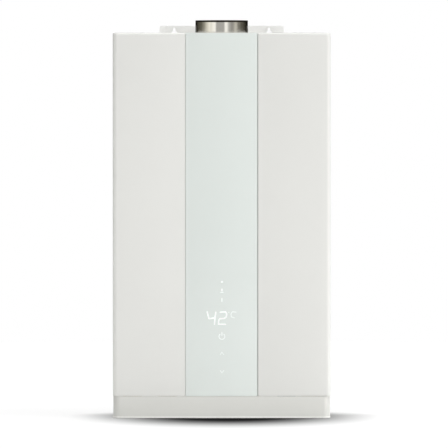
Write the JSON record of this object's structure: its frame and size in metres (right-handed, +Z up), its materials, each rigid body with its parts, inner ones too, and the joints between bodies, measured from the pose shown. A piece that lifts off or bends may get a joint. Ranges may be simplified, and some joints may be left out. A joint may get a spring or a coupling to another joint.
{
  "type": "gas water heater",
  "caption": "Wall-hung instantaneous gas water heater: white steel casing with an upright glass touch display, top flue collar, wall bracket and pipe connections in an open skirt.",
  "frame": {"origin": "centre of the footprint, on the surface that the skirt stands on", "axes": "+X to the right of someone facing the front, +Y towards the wall, +Z up"},
  "size_m": [0.33, 0.15, 0.602],
  "materials": {
    "white_paint": "fine satin powder coat",
    "chassis_paint": "pre-painted sheet",
    "top_paint": "pre-painted sheet",
    "bracket_steel": "painted steel",
    "front_glass": "tempered, white behind",
    "black_tape": "foam tape",
    "white_plastic": "satin",
    "skirt_plastic": "satin",
    "circuit_board": "solder mask",
    "light_guide": "milky",
    "soft_pad": "conductive foam",
    "zinc_steel": "zinc plated",
    "stainless": "brushed",
    "gasket": "matt",
    "hot_sheet": "aluminised",
    "copper": "bright copper",
    "brass": "machined",
    "cast_aluminium": "die cast",
    "ceramic": "glazed",
    "electrode": "heat resistant wire",
    "black_plastic": "moulded",
    "red_silicone": "silicone",
    "motor_paint": "black enamel",
    "black_cable": "sleeved",
    "coil_black": "moulded",
    "coil_red": "moulded",
    "plunger_steel": "ground",
    "turbine_plastic": "moulded",
    "knob_blue": "moulded",
    "gland_rubber": "moulded"
  },
  "bodies": {
    "chassis": {"rear_chassis": "chassis_paint", "top_plate": "top_paint", "bottom_plate": "chassis_paint", "wall_bracket": "bracket_steel", "lower_bracket": "bracket_steel", "bracket_rivets": "zinc_steel", "skirt": "skirt_plastic", "skirt_screws": "zinc_steel", "flue_collar": "stainless", "flue_gasket": "gasket", "flue_screws": "zinc_steel", "exhaust_hood": "hot_sheet", "exchanger_shell": "copper", "exchanger_fins": "copper", "exchanger_tubes": "copper", "stack_brackets": "hot_sheet", "stack_screws": "zinc_steel", "burner_case": "hot_sheet", "burner_bars": "hot_sheet", "gas_manifold": "cast_aluminium", "gas_nozzles": "brass", "electrode_insulators": "ceramic", "electrode_rods": "electrode", "spark_module": "black_plastic", "ignition_lead": "red_silicone", "blower_scroll": "hot_sheet", "blower_front_plate": "hot_sheet", "fan_motor": "motor_paint", "motor_lead": "black_cable", "gas_inlet": "brass", "gas_valve_body": "cast_aluminium", "main_coil": "coil_black", "proportional_coil": "coil_red", "gas_pipe": "copper", "cold_inlet": "brass", "flow_sensor_body": "black_plastic", "cold_pipe": "copper", "hot_pipe": "copper", "hot_outlet": "brass", "drain_valve_body": "brass", "control_box": "white_plastic", "control_board": "circuit_board", "control_bracket": "hot_sheet", "overheat_cutout": "black_plastic", "cord_gland": "gland_rubber"},
    "cover": {"front_cover": "white_paint", "glass_panel": "front_glass", "glass_tape": "black_tape", "display_housing": "white_plastic", "display_board": "circuit_board", "display_light_guides": "light_guide", "touch_pads": "soft_pad", "cover_screws": "zinc_steel", "cover_studs": "zinc_steel"},
    "fan_rotor": {"impeller": "hot_sheet", "motor_shaft": "plunger_steel"},
    "turbine": {"flow_turbine": "turbine_plastic"},
    "main_valve": {"main_plunger": "plunger_steel"},
    "proportional_valve": {"proportional_plunger": "plunger_steel"},
    "drain": {"drain_knob": "knob_blue"}
  },
  "joints": [
    {"name": "cover_off", "type": "slide", "parent": "chassis", "child": "cover", "axis": [0, -1, 0], "range_m": [0, 0.22]},
    {"name": "fan_spin", "type": "hinge", "parent": "chassis", "child": "fan_rotor", "pos_m": [0.019, 0.029, 0.14], "axis": [0, 1, 0], "continuous": true},
    {"name": "flow_spin", "type": "hinge", "parent": "chassis", "child": "turbine", "pos_m": [0.136, 0.02, 0.082], "axis": [0, 0, 1], "continuous": true},
    {"name": "main_valve_lift", "type": "slide", "parent": "chassis", "child": "main_valve", "axis": [0, -1, 0], "range_m": [0, 0.0025], "stiffness_N_per_m": 300, "springref_m": -0.003},
    {"name": "proportional_valve_lift", "type": "slide", "parent": "chassis", "child": "proportional_valve", "axis": [0, -1, 0], "range_m": [0, 0.0025], "stiffness_N_per_m": 300, "springref_m": -0.003},
    {"name": "drain_turn", "type": "hinge", "parent": "chassis", "child": "drain", "pos_m": [0.099, 0.02, 0.03], "axis": [0, 0, 1], "range_deg": [0, 90]}
  ]
}
